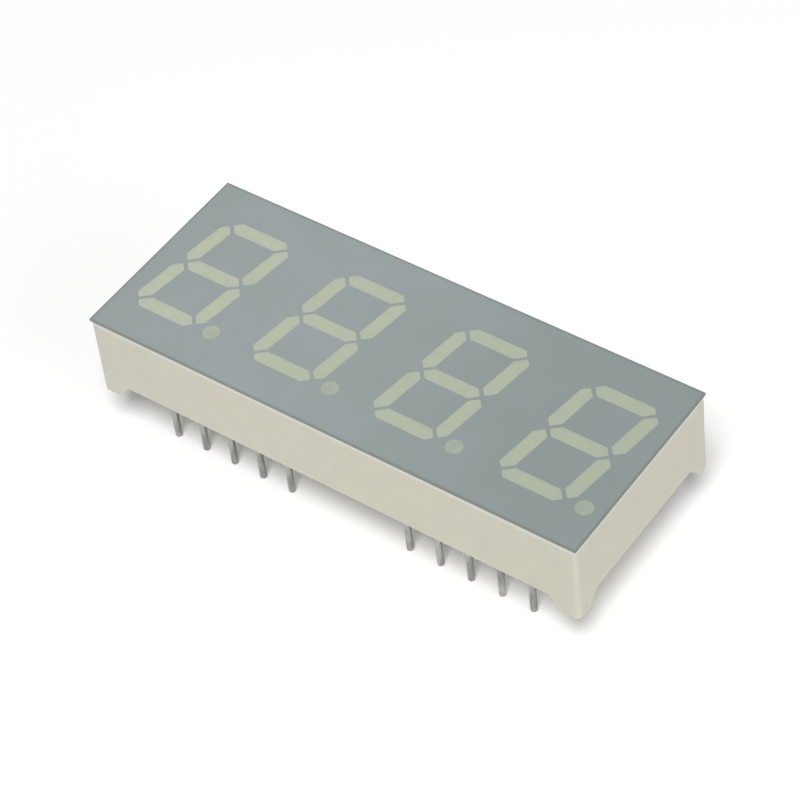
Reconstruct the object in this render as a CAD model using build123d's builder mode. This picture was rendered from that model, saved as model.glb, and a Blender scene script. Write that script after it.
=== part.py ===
"""Four-digit seven-segment LED display, 0.4 inch digits, two rows of through-hole pins.

Millimetres.  X runs along the row of digits in reading order, Y from the bottom of
the digits to their top, Z out of the display face.  The origin is the middle of the
pin field on the seating plane, where the four corner feet stand on a circuit board.
"""

from build123d import *
import math
import os

# ---- Overall sizes ----
body_length = 40.2          # X, at the feet
body_height = 7.0           # seating plane to display face
draft_angle = 0.6           # degrees, outside of the moulding
corner_radius = 0.4         # upright edges of the moulding
edge_round = 0.12           # top rim of the moulding
side_margin = 1.6           # pin row to the long side of the moulding, at the feet

# ---- Feet and back pocket ----
foot_height = 1.2
foot_length = 1.4           # X, at the tip
foot_width = 1.2            # Y, at the tip
foot_flank = 1.0            # how far a foot widens from its tip to its root
wall = 0.85                 # round the back pocket
pocket_radius = 0.6

# ---- Digits ----
digit_count = 4
digit_pitch = 10.16
digit_height = 10.16
slant_angle = 8.0           # degrees, tops lean to the right
column_spacing = 4.96       # between the centre lines of the upright segments
segment_width = 1.09
segment_gap = 0.26          # rib between two mitred segment ends
corner_trim = 0.0           # outer cut at a digit's corners, from the centre lines' crossing
segment_round = 0.1         # corners of a segment's outline
point_diameter = 1.26
point_offset = 3.33         # decimal point from the middle of its digit, X

# ---- Face film, printed grey and cut out at each light ----
film_thickness = 0.12
film_overhang = 0.05        # past the top of the moulding's sides
film_corner_radius = 0.1

# ---- Wells that the segments are cast in, at the circuit board ----
well_length = 1.9
well_width = 0.72
well_round = 0.08
point_well_diameter = 1.16

# ---- Circuit board and copper ----
board_thickness = 1.0
board_clearance = 0.1       # board edge to pocket wall
board_back = 2.3            # height of the board's back face
copper_thickness = 0.05
track_width = 0.25
pad_diameter = 1.3
plating = 0.05
hole_diameter = 0.9         # inside the plating
via_diameter = 0.35
chip_pad = 0.5
bond_pad = 0.4
lane_spacing = 0.9          # between the tracks that run up between two digits
jog_inset = 0.4             # from a pin row to where tracks turn towards their pins

# ---- Chips and bond wires ----
chip_side = 0.3
chip_height = 0.2
bond_span = 0.7             # middle of the chip to the foot of its wire
bond_rise = 0.06            # straight part of the loop above the chip
bond_wire_diameter = 0.04
via_reach = 0.9             # middle of a well to its via

# ---- Pins ----
pin_pitch = 2.54
pins_per_group = 5          # under each pair of digits, in each row
row_allowance = 2.54        # how much further apart the pin rows are than a digit is high
pin_diameter = 0.5
pin_below_seat = 3.8
pin_tip_chamfer = 0.1
pin_round_top = 1.25        # the round wire ends here and its squared shank begins
shank_side = 0.36
head_diameter = 1.0
head_height = 0.2
head_clearance = 0.2        # round and above a pin head, in the reflector

# ---- Solder and potting ----
fillet_height = 0.5
fillet_radius = 0.6
fillet_top_diameter = 1.1   # at the pad
fillet_tip_diameter = 0.62  # at the shank
potting_back = 1.5          # height of the potting's back face

# ---- Sizes that follow ----
row_spacing = digit_height + row_allowance
body_width = row_spacing + 2 * side_margin
housing_top = body_height - film_thickness
board_front = board_back + board_thickness
reflector_back = board_front + copper_thickness
copper_back = board_back - copper_thickness
pocket_length = body_length - 2 * wall
pocket_width = body_width - 2 * wall
taper_at_top = housing_top * math.tan(math.radians(draft_angle))
top_length = body_length - 2 * taper_at_top
top_width = body_width - 2 * taper_at_top
column = column_spacing / 2
row = (digit_height - segment_width) / 2
mitre = segment_gap / math.sqrt(2)
slope = math.tan(math.radians(slant_angle))
point_centre = Vector(point_offset, -row)
pin_row = row_spacing / 2
jog_row = pin_row - jog_inset

LEFT, RIGHT, UP, DOWN = Vector(-1, 0), Vector(1, 0), Vector(0, 1), Vector(0, -1)

# Each segment of an upright digit: the two nodes that it joins, which way is
# outwards, and which way its bond wire runs from its chip.
SEGMENTS = {
    "a": (Vector(-column, row), Vector(column, row), UP, LEFT),
    "b": (Vector(column, row), Vector(column, 0), RIGHT, DOWN),
    "c": (Vector(column, -row), Vector(column, 0), RIGHT, DOWN),
    "d": (Vector(-column, -row), Vector(column, -row), DOWN, LEFT),
    "e": (Vector(-column, -row), Vector(-column, 0), LEFT, UP),
    "f": (Vector(-column, row), Vector(-column, 0), LEFT, UP),
    "g": (Vector(-column, 0), Vector(column, 0), UP, LEFT),
}


def digit_middle(digit):
    """Middle of a digit, counted from 1 at the left."""
    return Vector((digit - (digit_count + 1) / 2) * digit_pitch, 0)


def pair_middle(left_digit):
    """X half way between a digit and its right-hand neighbour."""
    return (digit_middle(left_digit).X + digit_middle(left_digit + 1).X) / 2


def lean(point):
    """Slant a point of an upright digit."""
    return Vector(point.X + slope * point.Y, point.Y)


def segment_outline(start, end, outward):
    """The six corners of a segment, mitred where it meets its neighbours."""
    along = (end - start).normalized()
    half = segment_width / 2
    ends = []
    for node, inward in ((start, along), (end, -along)):
        outer_cut = corner_trim if node.Y else mitre
        inner_corner = node + inward * (mitre + half) - outward * half
        tip = node + inward * (mitre + outer_cut) / 2 + outward * (mitre - outer_cut) / 2
        outer_corner = node + inward * (outer_cut + half) + outward * half
        ends.append([inner_corner, tip, outer_corner])
    return ends[0] + ends[1][::-1]


def well_outline(start, end, outward):
    """The six corners of the same segment's well at the circuit board."""
    along = (end - start).normalized()
    middle = (start + end) / 2
    half = well_width / 2
    ends = []
    for inward in (along, -along):
        tip = middle - inward * well_length / 2
        shoulder = tip + inward * half
        ends.append([shoulder - outward * half, tip, shoulder + outward * half])
    return ends[0] + ends[1][::-1]


def sketch_outline(points, middle, height, radius):
    """A slanted, rounded outline of one segment at a height."""
    placed = [middle + lean(point) for point in points]
    with BuildSketch(Plane.XY.offset(height)) as outline:
        with BuildLine():
            Polyline(*[(point.X, point.Y) for point in placed], close=True)
        make_face()
        fillet(outline.vertices(), radius)
    return outline.sketch


def sketch_circle(middle, height, diameter):
    """A round outline at a height."""
    with BuildSketch(Plane.XY.offset(height)) as outline:
        with Locations((middle.X, middle.Y)):
            Circle(diameter / 2)
    return outline.sketch


def cast_well(face_outline, board_outline):
    """The funnel between an outline at the board and one at the face."""
    with BuildPart() as well:
        add(board_outline)
        add(face_outline)
        loft(ruled=True)
    return well.part


class Light:
    """One lit area of the face: its well, and where its chip, bond pad and via lie."""

    def __init__(self, name, face_outline, board_outline, middle, bond_direction):
        self.name = name
        self.well = cast_well(face_outline, board_outline)
        self.direction = bond_direction.normalized()
        self.chip = middle - self.direction * bond_span / 2
        self.bond = middle + self.direction * bond_span / 2
        self.via = middle + self.direction * via_reach


def segment_light(digit, letter):
    start, end, outward, bond_direction = SEGMENTS[letter]
    middle = digit_middle(digit)
    face = sketch_outline(segment_outline(start, end, outward), middle, body_height, segment_round)
    board = sketch_outline(well_outline(start, end, outward), middle, reflector_back, well_round)
    centre = middle + lean((start + end) / 2)
    return Light(f"segment_{digit}{letter}", face, board, centre, lean(bond_direction))


def point_light(digit):
    centre = digit_middle(digit) + point_centre
    face = sketch_circle(centre, body_height, point_diameter)
    board = sketch_circle(centre, reflector_back, point_well_diameter)
    return Light(f"point_{digit}", face, board, centre, DOWN)


lights = {}
for digit in range(1, digit_count + 1):
    for letter in SEGMENTS:
        lights[digit, letter] = segment_light(digit, letter)
    lights[digit, "point"] = point_light(digit)

# Pins are counted along the front row from the left, then back along the rear row.
left_digits = range(1, digit_count, 2)
group_offsets = [(place - (pins_per_group - 1) / 2) * pin_pitch for place in range(pins_per_group)]
pin_columns = [pair_middle(digit) + offset for digit in left_digits for offset in group_offsets]
pin_places = [Vector(x, -pin_row) for x in pin_columns]
pin_places += [Vector(x, pin_row) for x in reversed(pin_columns)]


# ---- LED chips ----
with BuildPart() as led_chips:
    with Locations(*[(light.chip.X, light.chip.Y, reflector_back) for light in lights.values()]):
        Box(chip_side, chip_side, chip_height, align=(Align.CENTER, Align.CENTER, Align.MIN))

# ---- Bond wires: a hoop from the top of each chip down to its pad ----
with BuildPart() as bond_wires:
    for light in lights.values():
        foot = Vector(light.chip.X, light.chip.Y, reflector_back + chip_height)
        sideways = light.direction.cross(Vector(0, 0, 1))
        with BuildLine(Plane(origin=foot, x_dir=light.direction, z_dir=sideways)):
            Line((0, 0), (0, bond_rise))
            ThreePointArc(
                (0, bond_rise),
                (bond_span / 2, bond_rise + bond_span / 2),
                (bond_span, bond_rise),
            )
            Line((bond_span, bond_rise), (bond_span, -chip_height))
        with BuildSketch(Plane(origin=foot, z_dir=(0, 0, 1))):
            Circle(bond_wire_diameter / 2)
        sweep()


# ---- Cast segments and decimal points, round their chips and wires ----
def cast_resin(light):
    with BuildPart() as resin:
        add(light.well)
        add(led_chips.part, mode=Mode.SUBTRACT)
        add(bond_wires.part, mode=Mode.SUBTRACT)
    resin.part.label = light.name
    return resin.part


castings = [cast_resin(light) for light in lights.values()]

# ---- Reflector housing: one moulding, open at the back, standing on four feet ----
with BuildPart() as reflector_housing:
    with BuildSketch():
        RectangleRounded(body_length, body_width, corner_radius)
    extrude(amount=housing_top, taper=draft_angle)
    fillet(reflector_housing.faces().sort_by(Axis.Z)[-1].edges(), edge_round)
    with BuildSketch():
        RectangleRounded(pocket_length, pocket_width, pocket_radius)
    extrude(amount=reflector_back, mode=Mode.SUBTRACT)
    sides = (
        (Plane.XZ, body_length / 2 - foot_length, body_width),
        (Plane.YZ, body_width / 2 - foot_width, body_length),
    )
    for plane, half_opening, depth in sides:
        with BuildSketch(plane):
            Polygon(
                (-half_opening, 0),
                (half_opening, 0),
                (half_opening - foot_flank, foot_height),
                (-half_opening + foot_flank, foot_height),
                align=None,
            )
        extrude(amount=depth, both=True, mode=Mode.SUBTRACT)
    with BuildSketch(Plane.XY.offset(reflector_back)):
        with Locations(*[(place.X, place.Y) for place in pin_places]):
            Circle(head_diameter / 2 + head_clearance)
    extrude(amount=head_height + head_clearance, mode=Mode.SUBTRACT)
    for light in lights.values():
        add(light.well, mode=Mode.SUBTRACT)

# ---- Face film, flush with the castings in its windows ----
with BuildPart() as face_film:
    with BuildSketch(Plane.XY.offset(housing_top)):
        RectangleRounded(
            top_length + 2 * film_overhang,
            top_width + 2 * film_overhang,
            film_corner_radius,
        )
    extrude(amount=film_thickness)
    for light in lights.values():
        add(light.well, mode=Mode.SUBTRACT)


# ---- Copper ----
# Each pair of digits shares its eight segment lines.  A line is a straight bus on the
# board's back, with a via under each of the two lights.  Three lines of each row
# reach their pins through lanes on the front, between the two digits, and one
# through its own bus.  Each digit's chips share one tree on the front, on one pin.
upper_lanes = ("f", "b", "g")
lower_lanes = ("d", "c", "e")


def run(points):
    """A track with square corners through the points, into the open sketch."""
    for start, end in zip(points, points[1:]):
        length = (end - start).length + track_width
        angle = math.degrees(math.atan2(end.Y - start.Y, end.X - start.X))
        middle = (start + end) / 2
        with Locations(Location((middle.X, middle.Y, 0), (0, 0, angle))):
            Rectangle(length, track_width)


def chip_tree(digit):
    """Tracks that join a digit's chip pads: a slanted spine with a branch to each side."""
    top = lights[digit, "a"].chip
    bottom = lights[digit, "d"].chip
    tracks = [[top, bottom]]
    for letter in ("b", "c", "e", "f", "point"):
        chip = lights[digit, letter].chip
        share = (chip.Y - bottom.Y) / (top.Y - bottom.Y)
        tracks.append([chip, bottom + (top - bottom) * share])
    return tracks


def pair_tracks(left_digit):
    """Front tracks, back tracks and lane vias of two neighbouring digits."""
    right_digit = left_digit + 1
    middle = pair_middle(left_digit)
    first_pin = middle + group_offsets[0]
    last_pin = middle + group_offsets[-1]
    front = chip_tree(left_digit) + chip_tree(right_digit)
    top = lights[left_digit, "a"].chip
    bottom = lights[right_digit, "d"].chip
    for chip, pin_x, side in ((top, first_pin, 1), (bottom, last_pin, -1)):
        jog = side * jog_row
        front.append([chip, Vector(chip.X, jog), Vector(pin_x, jog), Vector(pin_x, side * pin_row)])
    back = []
    for letter in (*SEGMENTS, "point"):
        back.append([lights[left_digit, letter].via, lights[right_digit, letter].via])
    upper = lights[right_digit, "a"].via
    lower = lights[left_digit, "point"].via
    back.append([upper, Vector(last_pin, upper.Y), Vector(last_pin, pin_row)])
    back.append([lower, Vector(first_pin, lower.Y), Vector(first_pin, -pin_row)])
    lane_vias = []
    for side, letters in ((1, upper_lanes), (-1, lower_lanes)):
        for place, letter in zip((-1, 0, 1), letters):
            lane = middle + place * lane_spacing
            pin_x = middle + place * pin_pitch
            bus = Vector(lane, lights[left_digit, letter].via.Y)
            jog = side * jog_row
            front.append([Vector(pin_x, side * pin_row), Vector(pin_x, jog), Vector(lane, jog), bus])
            lane_vias.append(bus)
    return front, back, lane_vias


front_tracks = []
back_tracks = []
via_places = [light.via for light in lights.values()]
for left_digit in left_digits:
    front, back, lane_vias = pair_tracks(left_digit)
    front_tracks += front
    back_tracks += back
    via_places += lane_vias
for light in lights.values():
    front_tracks.append([light.bond, light.via])

hole_places = [(place.X, place.Y) for place in pin_places]
via_points = [(place.X, place.Y) for place in via_places]

with BuildPart() as copper_tracks:
    with BuildSketch(Plane.XY.offset(board_front)):
        for track in front_tracks:
            run(track)
        with Locations(*[(light.chip.X, light.chip.Y) for light in lights.values()]):
            Rectangle(chip_pad, chip_pad)
        with Locations(*[(light.bond.X, light.bond.Y) for light in lights.values()]):
            Rectangle(bond_pad, bond_pad)
        with Locations(*hole_places):
            Circle(pad_diameter / 2)
        with Locations(*via_points):
            Circle(via_diameter / 2 + plating)
    extrude(amount=copper_thickness)
    with BuildSketch(Plane.XY.offset(copper_back)):
        for track in back_tracks:
            run(track)
        with Locations(*hole_places):
            Circle(pad_diameter / 2)
        with Locations(*via_points):
            Circle(via_diameter / 2 + plating)
    extrude(amount=copper_thickness)
    with BuildSketch(Plane.XY.offset(board_back)):
        with Locations(*hole_places):
            Circle(hole_diameter / 2 + plating)
        with Locations(*via_points):
            Circle(via_diameter / 2)
    extrude(amount=board_thickness)
    with BuildSketch(Plane.XY.offset(copper_back)):
        with Locations(*hole_places):
            Circle(hole_diameter / 2)
    extrude(amount=reflector_back - copper_back, mode=Mode.SUBTRACT)

# ---- Circuit board ----
with BuildPart() as circuit_board:
    with BuildSketch(Plane.XY.offset(board_back)):
        RectangleRounded(
            pocket_length - 2 * board_clearance,
            pocket_width - 2 * board_clearance,
            pocket_radius,
        )
        with Locations(*hole_places):
            Circle(hole_diameter / 2 + plating, mode=Mode.SUBTRACT)
        with Locations(*via_points):
            Circle(via_diameter / 2, mode=Mode.SUBTRACT)
    extrude(amount=board_thickness)


# ---- Pins: round wire with a squared shank and a nail head on the board's front ----
def make_pin(place, name):
    with BuildPart() as pin:
        with BuildSketch(Plane.XY.offset(-pin_below_seat)):
            with Locations((place.X, place.Y)):
                Circle(pin_diameter / 2)
        extrude(amount=pin_below_seat + pin_round_top)
        chamfer(pin.edges().sort_by(Axis.Z)[0], pin_tip_chamfer)
        with BuildSketch(Plane.XY.offset(pin_round_top)):
            with Locations((place.X, place.Y)):
                Rectangle(shank_side, shank_side)
        extrude(amount=reflector_back - pin_round_top)
        with BuildSketch(Plane.XY.offset(reflector_back)):
            with Locations((place.X, place.Y)):
                Circle(head_diameter / 2)
        extrude(amount=head_height)
        chamfer(pin.edges().sort_by(Axis.Z)[-1], head_height / 2)
    pin.part.label = name
    return pin.part


pins = [make_pin(place, f"pin_{number:02d}") for number, place in enumerate(pin_places, start=1)]

# ---- Solder: fills each plated hole and rises in a fillet on the back ----
with BuildPart() as solder_joints:
    for place in pin_places:
        with BuildSketch(Plane.XZ.offset(-place.Y)):
            with BuildLine():
                tip = (place.X + fillet_tip_diameter / 2, copper_back - fillet_height)
                brim = (place.X + fillet_top_diameter / 2, copper_back)
                Line((place.X, copper_back - fillet_height), tip)
                RadiusArc(tip, brim, fillet_radius)
                Line(brim, (place.X, copper_back))
                Line((place.X, copper_back), (place.X, copper_back - fillet_height))
            make_face()
        revolve(axis=Axis((place.X, place.Y, 0), (0, 0, 1)))
    with BuildSketch(Plane.XY.offset(copper_back)):
        with Locations(*hole_places):
            Circle(hole_diameter / 2)
    extrude(amount=reflector_back - copper_back)
    with BuildSketch(Plane.XY.offset(potting_back)):
        with Locations(*hole_places):
            Rectangle(shank_side, shank_side)
    extrude(amount=reflector_back - potting_back, mode=Mode.SUBTRACT)

# ---- Potting: fills the pocket behind the board ----
with BuildPart() as potting:
    with BuildSketch(Plane.XY.offset(potting_back)):
        RectangleRounded(pocket_length, pocket_width, pocket_radius)
        with Locations(*hole_places):
            Rectangle(shank_side, shank_side, mode=Mode.SUBTRACT)
    extrude(amount=copper_back - potting_back)
    add(solder_joints.part, mode=Mode.SUBTRACT)

reflector_housing.part.label = "reflector_housing"
face_film.part.label = "face_film"
led_chips.part.label = "led_chips"
bond_wires.part.label = "bond_wires"
copper_tracks.part.label = "copper_tracks"
circuit_board.part.label = "circuit_board"
solder_joints.part.label = "solder_joints"
potting.part.label = "potting"

single_parts = [
    reflector_housing.part,
    face_film.part,
    led_chips.part,
    bond_wires.part,
    copper_tracks.part,
    circuit_board.part,
    solder_joints.part,
    potting.part,
]

os.makedirs("parts", exist_ok=True)
for part in single_parts + castings + pins:
    export_step(part, f"parts/{part.label}.step")
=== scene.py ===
"""Looks of the four-digit seven-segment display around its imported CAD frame."""

import bmesh
import bpy
import math
from mathutils import Matrix, Vector


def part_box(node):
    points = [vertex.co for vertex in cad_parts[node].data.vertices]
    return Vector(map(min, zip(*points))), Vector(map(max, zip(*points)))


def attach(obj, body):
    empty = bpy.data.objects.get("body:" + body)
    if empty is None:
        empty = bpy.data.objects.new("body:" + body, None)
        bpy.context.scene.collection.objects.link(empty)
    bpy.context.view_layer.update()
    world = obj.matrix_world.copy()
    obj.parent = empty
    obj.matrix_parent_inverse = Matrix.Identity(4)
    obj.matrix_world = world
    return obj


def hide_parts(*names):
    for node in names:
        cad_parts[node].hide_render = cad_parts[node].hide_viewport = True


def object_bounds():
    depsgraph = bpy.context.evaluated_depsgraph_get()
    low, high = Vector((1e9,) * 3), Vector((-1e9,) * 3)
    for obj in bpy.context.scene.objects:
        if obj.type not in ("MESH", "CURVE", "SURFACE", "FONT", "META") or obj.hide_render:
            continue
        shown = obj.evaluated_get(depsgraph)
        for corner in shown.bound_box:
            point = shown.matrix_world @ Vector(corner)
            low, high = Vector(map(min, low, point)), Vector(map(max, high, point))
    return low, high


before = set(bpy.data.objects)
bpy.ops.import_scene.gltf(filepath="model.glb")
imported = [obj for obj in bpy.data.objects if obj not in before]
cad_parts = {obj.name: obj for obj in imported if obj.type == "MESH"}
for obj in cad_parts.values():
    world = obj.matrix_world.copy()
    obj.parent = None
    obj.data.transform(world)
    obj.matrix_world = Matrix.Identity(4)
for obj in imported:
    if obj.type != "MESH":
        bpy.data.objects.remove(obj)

MM = 0.001
CAD_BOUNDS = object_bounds()

# ---- View ----
VIEW_AZIMUTH = 40.8        # degrees, from straight in front towards the right end
VIEW_ELEVATION = 47.35
VIEW_ROLL = -7.4
VIEW_DISTANCE = 197.9 * MM
VIEW_AIM = Vector((0.85, -0.55, 3.5)) * MM
LENS = 130.4               # mm, on a 36 mm sensor


def make_camera():
    azimuth = math.radians(VIEW_AZIMUTH)
    elevation = math.radians(VIEW_ELEVATION)
    towards_viewer = Vector((
        math.sin(azimuth) * math.cos(elevation),
        -math.cos(azimuth) * math.cos(elevation),
        math.sin(elevation),
    ))
    right = Vector((0, 0, 1)).cross(towards_viewer).normalized()
    up = towards_viewer.cross(right)
    upright = Matrix((right, up, towards_viewer)).transposed().to_4x4()
    camera = bpy.data.objects.new("camera", bpy.data.cameras.new("camera"))
    camera.data.lens = LENS
    camera.data.sensor_width = 36
    camera.data.clip_start = 0.01
    camera.matrix_world = (
        Matrix.Translation(VIEW_AIM + towards_viewer * VIEW_DISTANCE)
        @ upright
        @ Matrix.Rotation(math.radians(VIEW_ROLL), 4, "Z")
    )
    bpy.context.scene.collection.objects.link(camera)
    bpy.context.scene.camera = camera


# ---- Node helpers ----
class Nodes:
    """Builds one material's node tree with short calls."""

    def __init__(self, name):
        self.material = bpy.data.materials.new(name)
        self.material.use_nodes = True
        self.tree = self.material.node_tree
        self.tree.nodes.clear()
        self.output = self.tree.nodes.new("ShaderNodeOutputMaterial")

    def new(self, kind, **settings):
        node = self.tree.nodes.new("ShaderNode" + kind)
        for key, value in settings.items():
            setattr(node, key, value)
        return node

    def link(self, source, target):
        self.tree.links.new(source, target)

    def put(self, socket, value):
        if hasattr(value, "links"):
            self.link(value, socket)
        else:
            socket.default_value = value

    def position(self):
        return self.new("TexCoord").outputs["Object"]

    def axis(self, letter):
        split = self.new("SeparateXYZ")
        self.link(self.position(), split.inputs[0])
        return split.outputs[letter]

    def noise(self, size_mm, detail=3.0, roughness=0.5, stretch=None):
        """Noise from 0 to 1 whose features are about a size across."""
        noise = self.new("TexNoise")
        vector = self.position()
        if stretch:
            mapping = self.new("Mapping")
            mapping.inputs["Scale"].default_value = stretch
            self.link(vector, mapping.inputs["Vector"])
            vector = mapping.outputs["Vector"]
        self.link(vector, noise.inputs["Vector"])
        noise.inputs["Scale"].default_value = 1 / (size_mm * MM)
        noise.inputs["Detail"].default_value = detail
        noise.inputs["Roughness"].default_value = roughness
        return noise.outputs["Fac"]

    def math(self, operation, first, second=0.0, clamp=False):
        node = self.new("Math", operation=operation, use_clamp=clamp)
        self.put(node.inputs[0], first)
        self.put(node.inputs[1], second)
        return node.outputs[0]

    def ramp(self, value, low, high, out_low=0.0, out_high=1.0, smooth=True):
        """A value's range mapped onto another, clamped."""
        node = self.new("MapRange")
        if smooth:
            node.interpolation_type = "SMOOTHSTEP"
        self.put(node.inputs["Value"], value)
        node.inputs["From Min"].default_value = low
        node.inputs["From Max"].default_value = high
        node.inputs["To Min"].default_value = out_low
        node.inputs["To Max"].default_value = out_high
        return node.outputs["Result"]

    def mix(self, share, first, second):
        node = self.new("Mix", data_type="RGBA")
        self.put(node.inputs["Factor"], share)
        self.put(node.inputs["A"], first)
        self.put(node.inputs["B"], second)
        return node.outputs["Result"]

    def bump(self, height, depth_mm, strength=1.0, normal=None):
        node = self.new("Bump")
        node.inputs["Strength"].default_value = strength
        node.inputs["Distance"].default_value = depth_mm * MM
        self.put(node.inputs["Height"], height)
        if normal is not None:
            self.link(normal, node.inputs["Normal"])
        return node.outputs["Normal"]

    def surface(self, color, roughness, normal=None, **sockets):
        """The Principled shader, with other sockets by name."""
        shader = self.new("BsdfPrincipled")
        self.put(shader.inputs["Base Color"], color)
        self.put(shader.inputs["Roughness"], roughness)
        if normal is not None:
            self.link(normal, shader.inputs["Normal"])
        for name, value in sockets.items():
            shader.inputs[name.replace("_", " ")].default_value = value
        self.link(shader.outputs[0], self.output.inputs["Surface"])
        return self.material


def srgb(red, green, blue):
    """A display colour, 0 to 255, as the linear colour that a shader takes."""
    def linear(value):
        value /= 255
        return value / 12.92 if value <= 0.04045 else ((value + 0.055) / 1.055) ** 2.4
    return (linear(red), linear(green), linear(blue), 1.0)


def span(node):
    low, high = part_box(node)
    return Vector(low), Vector(high)


# ---- Materials ----
def housing_material():
    n = Nodes("ivory_moulding")
    cloud = n.noise(6.0, detail=2.0)
    mottle = n.noise(1.2, detail=4.0)
    tone = n.mix(n.ramp(cloud, 0.35, 0.65), srgb(196, 195, 180), srgb(199, 195, 180))
    tone = n.mix(n.ramp(mottle, 0.3, 0.7, 0.0, 0.35), tone, srgb(190, 190, 176))
    grain = n.noise(0.09, detail=3.0)
    # Painted shade: the moulding gets darker towards the right end (+X), in place of the light fading across
    # the body.
    low, high = span("reflector_housing")
    tone = n.mix(n.ramp(n.axis("X"), low.x / 2, high.x, 0.0, 0.15), tone, srgb(180, 178, 164))
    # Painted highlight: the walls are paler in a band just under their top edge, where the rim catches the
    # light.
    top = span("face_film")[0].z
    rim = n.ramp(n.axis("Z"), top - 0.5 * MM, top - 0.15 * MM, 0.0, 0.8)
    tone = n.mix(rim, tone, srgb(214, 214, 207))
    normal = n.bump(grain, 0.012, 0.5)
    roughness = n.ramp(mottle, 0.3, 0.7, 0.52, 0.62)
    return n.surface(tone, roughness, normal, Specular_IOR_Level=0.4)


def film_material():
    n = Nodes("grey_face_film")
    low, high = span("face_film")
    middle = (low + high) / 2
    half = (high - low) / 2
    edge_x = n.math("SUBTRACT", half.x, n.math("ABSOLUTE", n.math("SUBTRACT", n.axis("X"), middle.x)))
    edge_y = n.math("SUBTRACT", half.y, n.math("ABSOLUTE", n.math("SUBTRACT", n.axis("Y"), middle.y)))
    edge = n.math("MINIMUM", edge_x, edge_y)
    cloud = n.noise(5.0, detail=3.0)
    tone = n.mix(n.ramp(cloud, 0.35, 0.65), srgb(143, 153, 151), srgb(147, 154, 156))
    # Painted shade: the film gets darker towards the right end (+X), in place of the light fading across the
    # face.
    tone = n.mix(n.ramp(n.axis("X"), low.x / 2, high.x, 0.0, 0.6), tone, srgb(124, 136, 134))
    # Painted shade: a dark band within 0.25 mm of the film's edges, in place of the shade at its overhanging
    # edge.
    rim = n.ramp(edge, 0.0, 0.25 * MM, 0.6, 0.0)
    tone = n.mix(rim, tone, srgb(108, 112, 103))
    fine = n.noise(0.25, detail=3.0)
    normal = n.bump(fine, 0.006, 0.5)
    roughness = n.ramp(cloud, 0.3, 0.7, 0.46, 0.56)
    return n.surface(tone, roughness, normal, Specular_IOR_Level=0.45)


def resin_material(name, clear, deep, glow):
    n = Nodes(name)
    last = span("point_4")[1].x
    spot = n.new("TexCoord").outputs["Generated"]
    offset = n.new("VectorMath", operation="DISTANCE")
    n.link(spot, offset.inputs[0])
    offset.inputs[1].default_value = (0.5, 0.5, 1.0)
    cloud = n.noise(0.9, detail=3.0)
    tone = n.mix(n.ramp(cloud, 0.35, 0.65), clear, deep)
    tone = n.mix(n.ramp(offset.outputs["Value"], 0.05, 0.42, 0.4, 0.0), tone, glow)
    # Painted shade: the segments get darker towards the right end (+X), the same fading light as on the film.
    tone = n.mix(n.ramp(n.axis("X"), -last, last, 0.0, 0.35, smooth=False), tone, srgb(140, 149, 134))
    fine = n.noise(0.3, detail=2.0)
    normal = n.bump(fine, 0.004, 0.4)
    roughness = n.ramp(cloud, 0.3, 0.7, 0.34, 0.44)
    return n.surface(
        tone, roughness, normal,
        Subsurface_Weight=0.15, Subsurface_Radius=(1.0, 0.9, 0.6), Subsurface_Scale=0.5 * MM,
    )


def metal_material(name, bright, dull, size_mm, low_roughness, high_roughness, depth_mm=0.01):
    n = Nodes(name)
    streak = n.noise(size_mm, detail=3.0, stretch=(1, 1, 0.25))
    tone = n.mix(n.ramp(streak, 0.35, 0.65), bright, dull)
    normal = n.bump(n.noise(size_mm / 3, detail=3.0), depth_mm, 0.6)
    roughness = n.ramp(streak, 0.3, 0.7, low_roughness, high_roughness)
    return n.surface(tone, roughness, normal, Metallic=1.0)


def board_material():
    n = Nodes("glass_epoxy")
    weave = n.new("TexChecker")
    n.link(n.position(), weave.inputs["Vector"])
    weave.inputs["Scale"].default_value = 1 / (0.5 * MM)
    tone = n.mix(n.ramp(n.noise(1.5), 0.3, 0.7), srgb(176, 182, 122), srgb(160, 170, 112))
    tone = n.mix(n.math("MULTIPLY", weave.outputs["Fac"], 0.12), tone, srgb(205, 205, 160))
    normal = n.bump(weave.outputs["Fac"], 0.005, 0.4)
    return n.surface(tone, 0.4, normal)


def chip_material():
    n = Nodes("led_die")
    tone = n.mix(n.ramp(n.noise(0.12), 0.4, 0.6), srgb(92, 84, 60), srgb(140, 128, 78))
    return n.surface(tone, 0.2, n.bump(n.noise(0.05), 0.003, 0.3))


def potting_material():
    n = Nodes("potting_epoxy")
    cloud = n.noise(4.0, detail=3.0)
    tone = n.mix(n.ramp(cloud, 0.35, 0.65), srgb(214, 212, 196), srgb(203, 201, 184))
    bubbles = n.new("TexVoronoi")
    n.link(n.position(), bubbles.inputs["Vector"])
    bubbles.inputs["Scale"].default_value = 1 / (0.9 * MM)
    pits = n.ramp(bubbles.outputs["Distance"], 0.0, 0.12, 0.0, 1.0)
    normal = n.bump(pits, 0.03, 0.4)
    normal = n.bump(n.noise(2.5, detail=2.0), 0.08, 0.4, normal)
    return n.surface(tone, n.ramp(cloud, 0.3, 0.7, 0.28, 0.4), normal)


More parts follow.
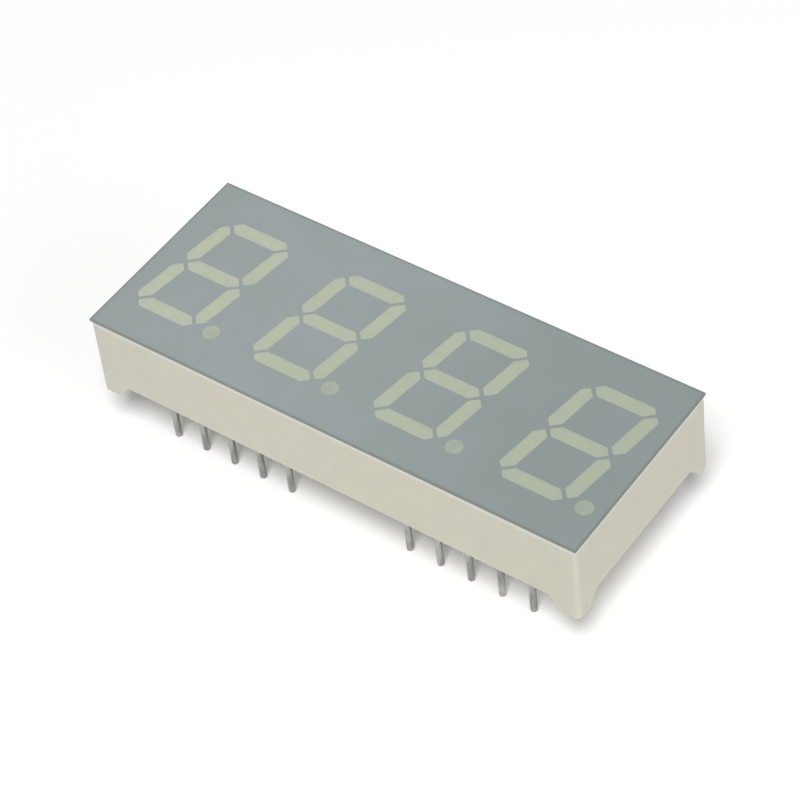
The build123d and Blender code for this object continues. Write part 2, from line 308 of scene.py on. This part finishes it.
def dress_nodes():
    resin = resin_material("milky_segment_resin", srgb(179, 185, 168), srgb(175, 182, 164), srgb(182, 189, 155))
    point = resin_material("milky_point_resin", srgb(168, 176, 161), srgb(162, 171, 157), srgb(157, 166, 150))
    looks = {
        "reflector_housing": housing_material(),
        "face_film": film_material(),
        "circuit_board": board_material(),
        "copper_tracks": metal_material("copper_foil", srgb(205, 140, 95), srgb(188, 122, 80), 0.4, 0.3, 0.42),
        "led_chips": chip_material(),
        "bond_wires": metal_material("gold_wire", srgb(232, 196, 110), srgb(222, 182, 98), 0.1, 0.2, 0.3),
        "solder_joints": metal_material("solder", srgb(190, 190, 188), srgb(168, 168, 166), 0.3, 0.22, 0.4),
        "potting": potting_material(),
    }
    pin = metal_material("tinned_wire", srgb(174, 173, 170), srgb(148, 147, 144), 0.5, 0.34, 0.5)
    for name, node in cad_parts.items():
        if name.startswith("segment_"):
            look = resin
        elif name.startswith("point_"):
            look = point
        elif name.startswith("pin_"):
            look = pin
        else:
            look = looks[name]
        node.data.materials.clear()
        node.data.materials.append(look)


# ---- Potting, which creeps a little along the pocket's walls and the pins ----
CREEP_HEIGHT = 0.16 * MM
CREEP_REACH = 0.3 * MM     # from the wall or pin to where it has nearly levelled out
POTTING_CELL = 0.15 * MM
POCKET_RADIUS = 0.6 * MM


def creep(distance):
    return math.exp(-max(distance, 0.0) / CREEP_REACH)


def rounded_corner(along, across, half):
    """Move a point of the square corner onto the pocket's round one."""
    past_x = abs(along) - (half.x - POCKET_RADIUS)
    past_y = abs(across) - (half.y - POCKET_RADIUS)
    if past_x <= 0 or past_y <= 0:
        return along, across
    scale = max(past_x, past_y) / math.hypot(past_x, past_y) - 1
    return (
        along + math.copysign(past_x * scale, along),
        across + math.copysign(past_y * scale, across),
    )


def make_potting(material):
    low, high = span("potting")
    middle, half = (low + high) / 2, (high - low) / 2
    pins = []
    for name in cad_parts:
        if name.startswith("pin_"):
            start, end = span(name)
            pins.append(((start + end) / 2).xy)
    shank = 0.18 * MM
    columns = round(2 * half.x / POTTING_CELL)
    rows = round(2 * half.y / POTTING_CELL)
    mesh = bmesh.new()
    grid = []
    for column in range(columns + 1):
        line = []
        for row in range(rows + 1):
            along = (2 * column / columns - 1) * half.x
            across = (2 * row / rows - 1) * half.y
            to_wall = min(half.x - abs(along), half.y - abs(across))
            along, across = rounded_corner(along, across, half)
            place = Vector((middle.x + along, middle.y + across))
            to_pin = min((place - pin).length for pin in pins) - shank
            rise = CREEP_HEIGHT * min(creep(to_wall) + creep(to_pin), 1.0)
            line.append(mesh.verts.new((place.x, place.y, low.z - rise)))
        grid.append(line)
    for left, right in zip(grid, grid[1:]):
        for row in range(rows):
            face = mesh.faces.new((left[row], left[row + 1], right[row + 1], right[row]))
            face.smooth = True
    rim = [line[0] for line in grid] + grid[-1][1:]
    rim += [line[-1] for line in reversed(grid[:-1])] + grid[0][-2:0:-1]
    lid = [mesh.verts.new((vertex.co.x, vertex.co.y, high.z)) for vertex in rim]
    for place in range(len(rim)):
        following = (place + 1) % len(rim)
        mesh.faces.new((rim[place], rim[following], lid[following], lid[place]))
    mesh.faces.new(lid)
    bmesh.ops.recalc_face_normals(mesh, faces=mesh.faces)
    data = bpy.data.meshes.new("potting_fill")
    mesh.to_mesh(data)
    mesh.free()
    data.materials.append(material)
    fill = bpy.data.objects.new("potting_fill", data)
    bpy.context.scene.collection.objects.link(fill)
    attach(fill, "root")
    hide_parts("potting")


# ---- Floor and light ----
FLOOR_SIZE = 3.0
FLOOR_SHADE = 0.88         # the floor's own reflectance, which takes the shadow
FLOOR_LIFT = 0.05          # even brightness that the eye sees on top of it


def make_floor():
    bpy.ops.mesh.primitive_plane_add(size=FLOOR_SIZE, location=(0, 0, CAD_BOUNDS[0][2]))
    floor = bpy.context.object
    floor.name = "floor"
    n = Nodes("white_floor")
    path = n.new("LightPath")
    seen = n.math("MAXIMUM", path.outputs["Is Camera Ray"], path.outputs["Is Glossy Ray"])
    seen = n.math("MAXIMUM", seen, path.outputs["Is Transmission Ray"])
    shade = n.new("BsdfDiffuse")
    shade.inputs["Color"].default_value = (FLOOR_SHADE, FLOOR_SHADE, FLOOR_SHADE, 1)
    lift = n.new("Emission")
    n.link(n.math("MULTIPLY", seen, FLOOR_LIFT), lift.inputs["Strength"])
    both = n.new("AddShader")
    n.link(shade.outputs[0], both.inputs[0])
    n.link(lift.outputs[0], both.inputs[1])
    n.link(both.outputs[0], n.output.inputs["Surface"])
    floor.data.materials.append(n.material)


def soft_light(name, azimuth, elevation, distance, size, power):
    """A square soft box that faces the object."""
    azimuth, elevation = math.radians(azimuth), math.radians(elevation)
    towards = Vector((
        math.sin(azimuth) * math.cos(elevation),
        -math.cos(azimuth) * math.cos(elevation),
        math.sin(elevation),
    ))
    lamp = bpy.data.lights.new(name, "AREA")
    lamp.shape = "SQUARE"
    lamp.size = size
    lamp.energy = power
    light = bpy.data.objects.new(name, lamp)
    light.location = towards * distance
    light.rotation_euler = towards.to_track_quat("Z", "Y").to_euler()
    bpy.context.scene.collection.objects.link(light)


def make_light():
    world = bpy.data.worlds.new("studio")
    bpy.context.scene.world = world
    world.use_nodes = True
    tree = world.node_tree
    background = tree.nodes["Background"]
    path = tree.nodes.new("ShaderNodeLightPath")
    strength = tree.nodes.new("ShaderNodeMapRange")
    tree.links.new(path.outputs["Is Camera Ray"], strength.inputs["Value"])
    strength.inputs["To Min"].default_value = 0.28
    strength.inputs["To Max"].default_value = 1.0
    tree.links.new(strength.outputs["Result"], background.inputs["Strength"])
    background.inputs["Color"].default_value = (1, 1, 1, 1)
    soft_light("key", 31, 61, 0.9, 0.36, 7.6)
    soft_light("fill", 85, 25, 0.9, 0.54, 1.45)


make_camera()
make_light()
make_floor()
dress_nodes()
make_potting(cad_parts["potting"].data.materials[0])

bpy.context.scene.view_settings.view_transform = "Standard"
